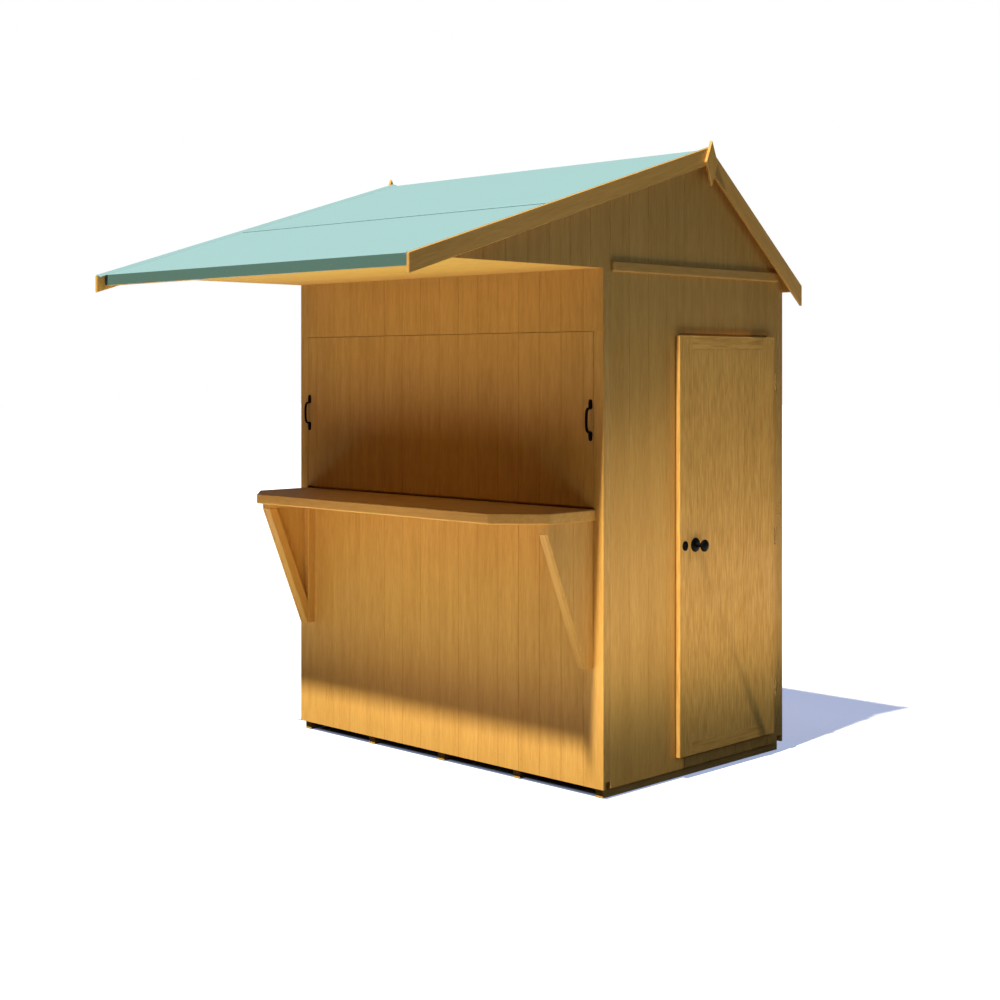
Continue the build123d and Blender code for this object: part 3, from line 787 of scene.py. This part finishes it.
def pear(bm, centre, tip, round_r, tip_r, height):
    """One ring of a plate that is round at its seat and narrower at its tip, facing -Y."""
    ring = []
    length = (tip - centre).length
    up = (tip - centre).normalized()
    side = up.cross(Y)
    lean = math.asin((round_r - tip_r) / length)
    arcs = ((tip, tip_r, lean, math.pi - lean),
            (centre, round_r, math.pi - lean, 2 * math.pi + lean))
    for middle, radius, first, last in arcs:
        for step in range(PLATE_STEPS):
            turn = first + (last - first) * step / (PLATE_STEPS - 1)
            place = middle + side * radius * math.cos(turn) + up * radius * math.sin(turn)
            ring.append(bm.verts.new(place - Y * height))
    return ring


def pull_plate(bm, seat, end, half):
    """One pear-shaped plate of a pull with a softened rim; gives the place of its screw."""
    centre = seat + Z * end * (half - PLATE_H + PLATE_R)
    tip = seat + Z * end * (half - PLATE_TIP_R)
    rims = ((0.0, 0.0), (0.0, 0.6 * PLATE_T), (0.3 * PLATE_T, 0.9 * PLATE_T),
            (0.9 * PLATE_T, PLATE_T))
    bridge(bm, [pear(bm, centre, tip, PLATE_R - inset, PLATE_TIP_R - inset, height)
                for inset, height in rims])
    return tip - Y * PLATE_T


def pull_bow(bm, seat, half):
    """The flattened bow of a pull, squarer than a half circle."""
    rise = half - PLATE_H + BOW_T / 2
    reach = BOW_REACH - BOW_T / 2
    line = []
    for step in range(BOW_STEPS + 1):
        turn = math.pi * step / BOW_STEPS
        height = -math.copysign(abs(math.cos(turn)) ** BOW_SQUARE, math.cos(turn)) * rise
        out = BOW_SINK + reach * math.sin(turn) ** BOW_SQUARE
        line.append(seat + Z * height - Y * out)
    rings = []
    for index, place in enumerate(line):
        ahead = line[min(index + 1, BOW_STEPS)] - line[max(index - 1, 0)]
        deep = ahead.cross(X).normalized()
        rings.append(round_ring(bm, place, X, deep, BOW_W / 2, BOW_T / 2, BOW_SIDES))
    bridge(bm, rings)


def dress_pulls():
    """The hatch's two bowed pulls, each on two plates with a screw."""
    low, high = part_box("hatch_pull_handles")
    half = (high.z - low.z) / 2
    bm = bmesh.new()
    screws = []
    for x in (low.x + PLATE_BOX / 2, high.x - PLATE_BOX / 2):
        seat = Vector((x, high.y, (low.z + high.z) / 2))
        screws += [pull_plate(bm, seat, end, half) for end in (-1, 1)]
        pull_bow(bm, seat, half)
    heads(bm, screws, -Y, SCREW_R, SCREW_RISE)
    stand_in(bm, "hatch_pull_handles", IRON, HEAD_SMOOTH)


def dress_knobs():
    """The pair of door knobs on their spindle."""
    low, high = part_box("door_knobs")
    centre = (low + high) / 2
    outline = KNOB_NECK + rounded(KNOB_CORNERS, KNOB_ROUNDS)
    length = outline[-1][0]
    bm = bmesh.new()
    for seat, outward in ((high.x - length, X), (low.x + length, -X)):
        lathe(bm, outline, Vector((seat, centre.y, centre.z)), outward, KNOB_SIDES)
    spindle = [(low.x + length - SPINDLE_SEAT, SPINDLE_R), (high.x - length + SPINDLE_SEAT, SPINDLE_R)]
    lathe(bm, spindle, Vector((0, centre.y, centre.z)), X, HEAD_SIDES)
    stand_in(bm, "door_knobs", IRON, IRON_SMOOTH)


def hinge_screws():
    """Three screws in each hinge leaf on the wall."""
    low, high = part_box("hinge_wall_leaves")
    bm = bmesh.new()
    leaves = welded("hinge_wall_leaves")
    for leaf in islands(leaves):
        middle = sum(vert.co.z for vert in leaf) / len(leaf)
        places = [Vector((low.x + HINGE_T, high.y - HINGE_SCREW_IN, middle + step))
                  for step in (-HINGE_SCREW_STEP, 0.0, HINGE_SCREW_STEP)]
        heads(bm, places, X, SCREW_R, SCREW_RISE)
    leaves.free()
    made_piece(bm, "hinge_screws", "hinge_wall_leaves", HINGE, HEAD_SMOOTH)


def lock_screws():
    """A screw in each corner of the lock's case."""
    low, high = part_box("rim_lock")
    bm = bmesh.new()
    places = [Vector((low.x, y, z)) for y in (low.y + LOCK_SCREW_IN, high.y - LOCK_SCREW_IN)
              for z in (low.z + LOCK_SCREW_IN, high.z - LOCK_SCREW_IN)]
    heads(bm, places, -X, SCREW_R, SCREW_RISE)
    made_piece(bm, "lock_screws", "rim_lock", IRON, HEAD_SMOOTH)


def keyhole_painted_shade():
    """A thin black sheet in the keyhole: painted shade where the hole is."""
    low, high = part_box("keyhole_plate")
    centre = (low + high) / 2
    bm = bmesh.new()
    prism(bm, KEYHOLE, Y, X, Z, *[low.x + sink for sink in KEYHOLE_SINK])
    for vert in bm.verts:
        vert.co += Vector((0, centre.y, centre.z))
    made_piece(bm, "keyhole_painted_shade", "keyhole_plate", IRON)


def dress_iron():
    """Lock, rose, keyhole plate, hinges, pulls, knobs and their screws."""
    for node, material in (("rim_lock", IRON), ("knob_rose", IRON), ("keyhole_plate", IRON),
                           ("hinge_door_leaves", HINGE), ("hinge_wall_leaves", HINGE)):
        bm = welded(node)
        ease(bm, IRON_EASED, 2, IRON_SHARP)
        stand_in(bm, node, material, IRON_SMOOTH)
    dress_pulls()
    dress_knobs()
    hinge_screws()
    lock_screws()
    keyhole_painted_shade()


# Stage

def camera():
    """The photograph's camera, its height shifted to the horizon."""
    data = bpy.data.cameras.new("camera")
    data.sensor_width = SENSOR
    data.lens = LENS
    data.shift_y = HORIZON_PIXEL / IMAGE_SIZE - 0.5
    view = bpy.data.objects.new("camera", data)
    view.location = CAMERA_AT
    view.rotation_euler = CAMERA_TURN
    bpy.context.scene.collection.objects.link(view)
    bpy.context.scene.camera = view


def white_world():
    """White behind the object, a faint blue sky for everything else."""
    world = bpy.data.worlds.new("sky")
    bpy.context.scene.world = world
    world.use_nodes = True
    tree = world.node_tree
    sky = tree.nodes["Background"]
    sky.inputs["Color"].default_value = SKY_COLOUR
    sky.inputs["Strength"].default_value = SKY_STRENGTH
    white = tree.nodes.new("ShaderNodeBackground")
    white.inputs["Color"].default_value = (1, 1, 1, 1)
    ray = tree.nodes.new("ShaderNodeLightPath")
    mix = tree.nodes.new("ShaderNodeMixShader")
    tree.links.new(ray.outputs["Is Camera Ray"], mix.inputs[0])
    tree.links.new(sky.outputs[0], mix.inputs[1])
    tree.links.new(white.outputs[0], mix.inputs[2])
    tree.links.new(mix.outputs[0], tree.nodes["World Output"].inputs["Surface"])


def floor_glow(make):
    """Strength of the floor's glow: none under the cabin, a little less beside it than farther out."""
    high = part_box("floor_bearers")[1]
    parts = make.add("SeparateXYZ", {0: make.here()})
    outside = []
    for axis, half in (("X", high.x), ("Y", high.y)):
        outside.append(make.maths("SUBTRACT", make.maths("ABSOLUTE", parts.outputs[axis]), half))
    away = make.maths("MAXIMUM", *outside)
    dimmed = make.ranged(away, GLOW_NEAR[0], GLOW_FAR[0], GLOW_NEAR[1], GLOW_FAR[1])
    return make.maths("MULTIPLY", make.ranged(away, -GLOW_EDGE, 0.0), dimmed)


def floor():
    """A pale floor that keeps its shadow open for the camera and bounces little."""
    bm = bmesh.new()
    bmesh.ops.create_grid(bm, x_segments=1, y_segments=1, size=FLOOR_HALF)
    mesh = bpy.data.meshes.new("floor")
    bm.to_mesh(mesh)
    bm.free()
    plane = bpy.data.objects.new("floor", mesh)
    plane.location = (0, 0, -FLOOR_DROP)
    bpy.context.scene.collection.objects.link(plane)
    make = Shader("pale_floor")
    make.bsdf.inputs["Base Color"].default_value = FLOOR_COLOUR
    make.bsdf.inputs["Roughness"].default_value = 1.0
    make.bsdf.inputs["Emission Color"].default_value = FLOOR_GLOW
    make.link(floor_glow(make), "Emission Strength")
    dull = make.add("BsdfDiffuse", {"Color": FLOOR_DULL})
    ray = make.add("LightPath")
    mix = make.add("MixShader", {0: ray.outputs["Is Camera Ray"], 1: dull.outputs[0],
                                 2: make.bsdf.outputs[0]})
    make.tree.links.new(mix.outputs[0], make.tree.nodes["Material Output"].inputs["Surface"])
    mesh.materials.append(make.material)


def aimed(data, place, facing):
    """Hang a light at a place, turned to face one way."""
    light = bpy.data.objects.new(data.name, data)
    light.location = place
    light.rotation_euler = Vector(facing).to_track_quat("-Z", "Y").to_euler()
    bpy.context.scene.collection.objects.link(light)
    return light


def sun():
    """The high sun from the front."""
    data = bpy.data.lights.new("sun", "SUN")
    data.energy = SUN_POWER
    data.color = SUN_COLOUR
    data.angle = math.radians(SUN_WIDTH)
    aimed(data, (0, 0, 0), SUN_TRAVEL)


def panel(name, place, facing, size, glow):
    """A soft light panel that isn't seen itself; glow is its radiance in each colour."""
    strongest = max(glow)
    data = bpy.data.lights.new(name, "AREA")
    data.shape = "RECTANGLE"
    data.size, data.size_y = size
    data.energy = strongest * math.pi * size[0] * size[1]
    data.color = [value / strongest for value in glow]
    aimed(data, place, facing).visible_camera = False


def wall_panels(name, out, foot, length):
    """Light panels beside one wall: low ones that shine up at it and a faint high one."""
    for kind, gap, height, (across, up), width, glow in WALL_PANELS:
        facing = Z * up - out * across
        panel(name + "_" + kind, foot + out * gap + Z * height, facing, (length, width), glow)


def lights():
    """The sun, and panels that stand for the light off a sunny floor."""
    sun()
    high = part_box("floor_bearers")[1]
    wall_panels("right", X, Vector((high.x, SIDE_PANEL_Y, 0)), SIDE_PANEL_LENGTH)
    wall_panels("left", -X, Vector((-high.x, SIDE_PANEL_Y, 0)), SIDE_PANEL_LENGTH)
    wall_panels("rear", Y, Vector((0, high.y, 0)), REAR_PANEL_LENGTH)
    for row in FRONT_PANELS:
        panel(*row)


camera()
white_world()
floor()
lights()
dress_boards()
dress_timbers()
dress_roof()
dress_iron()
board_pins()
bpy.context.scene.view_settings.view_transform = "Standard"
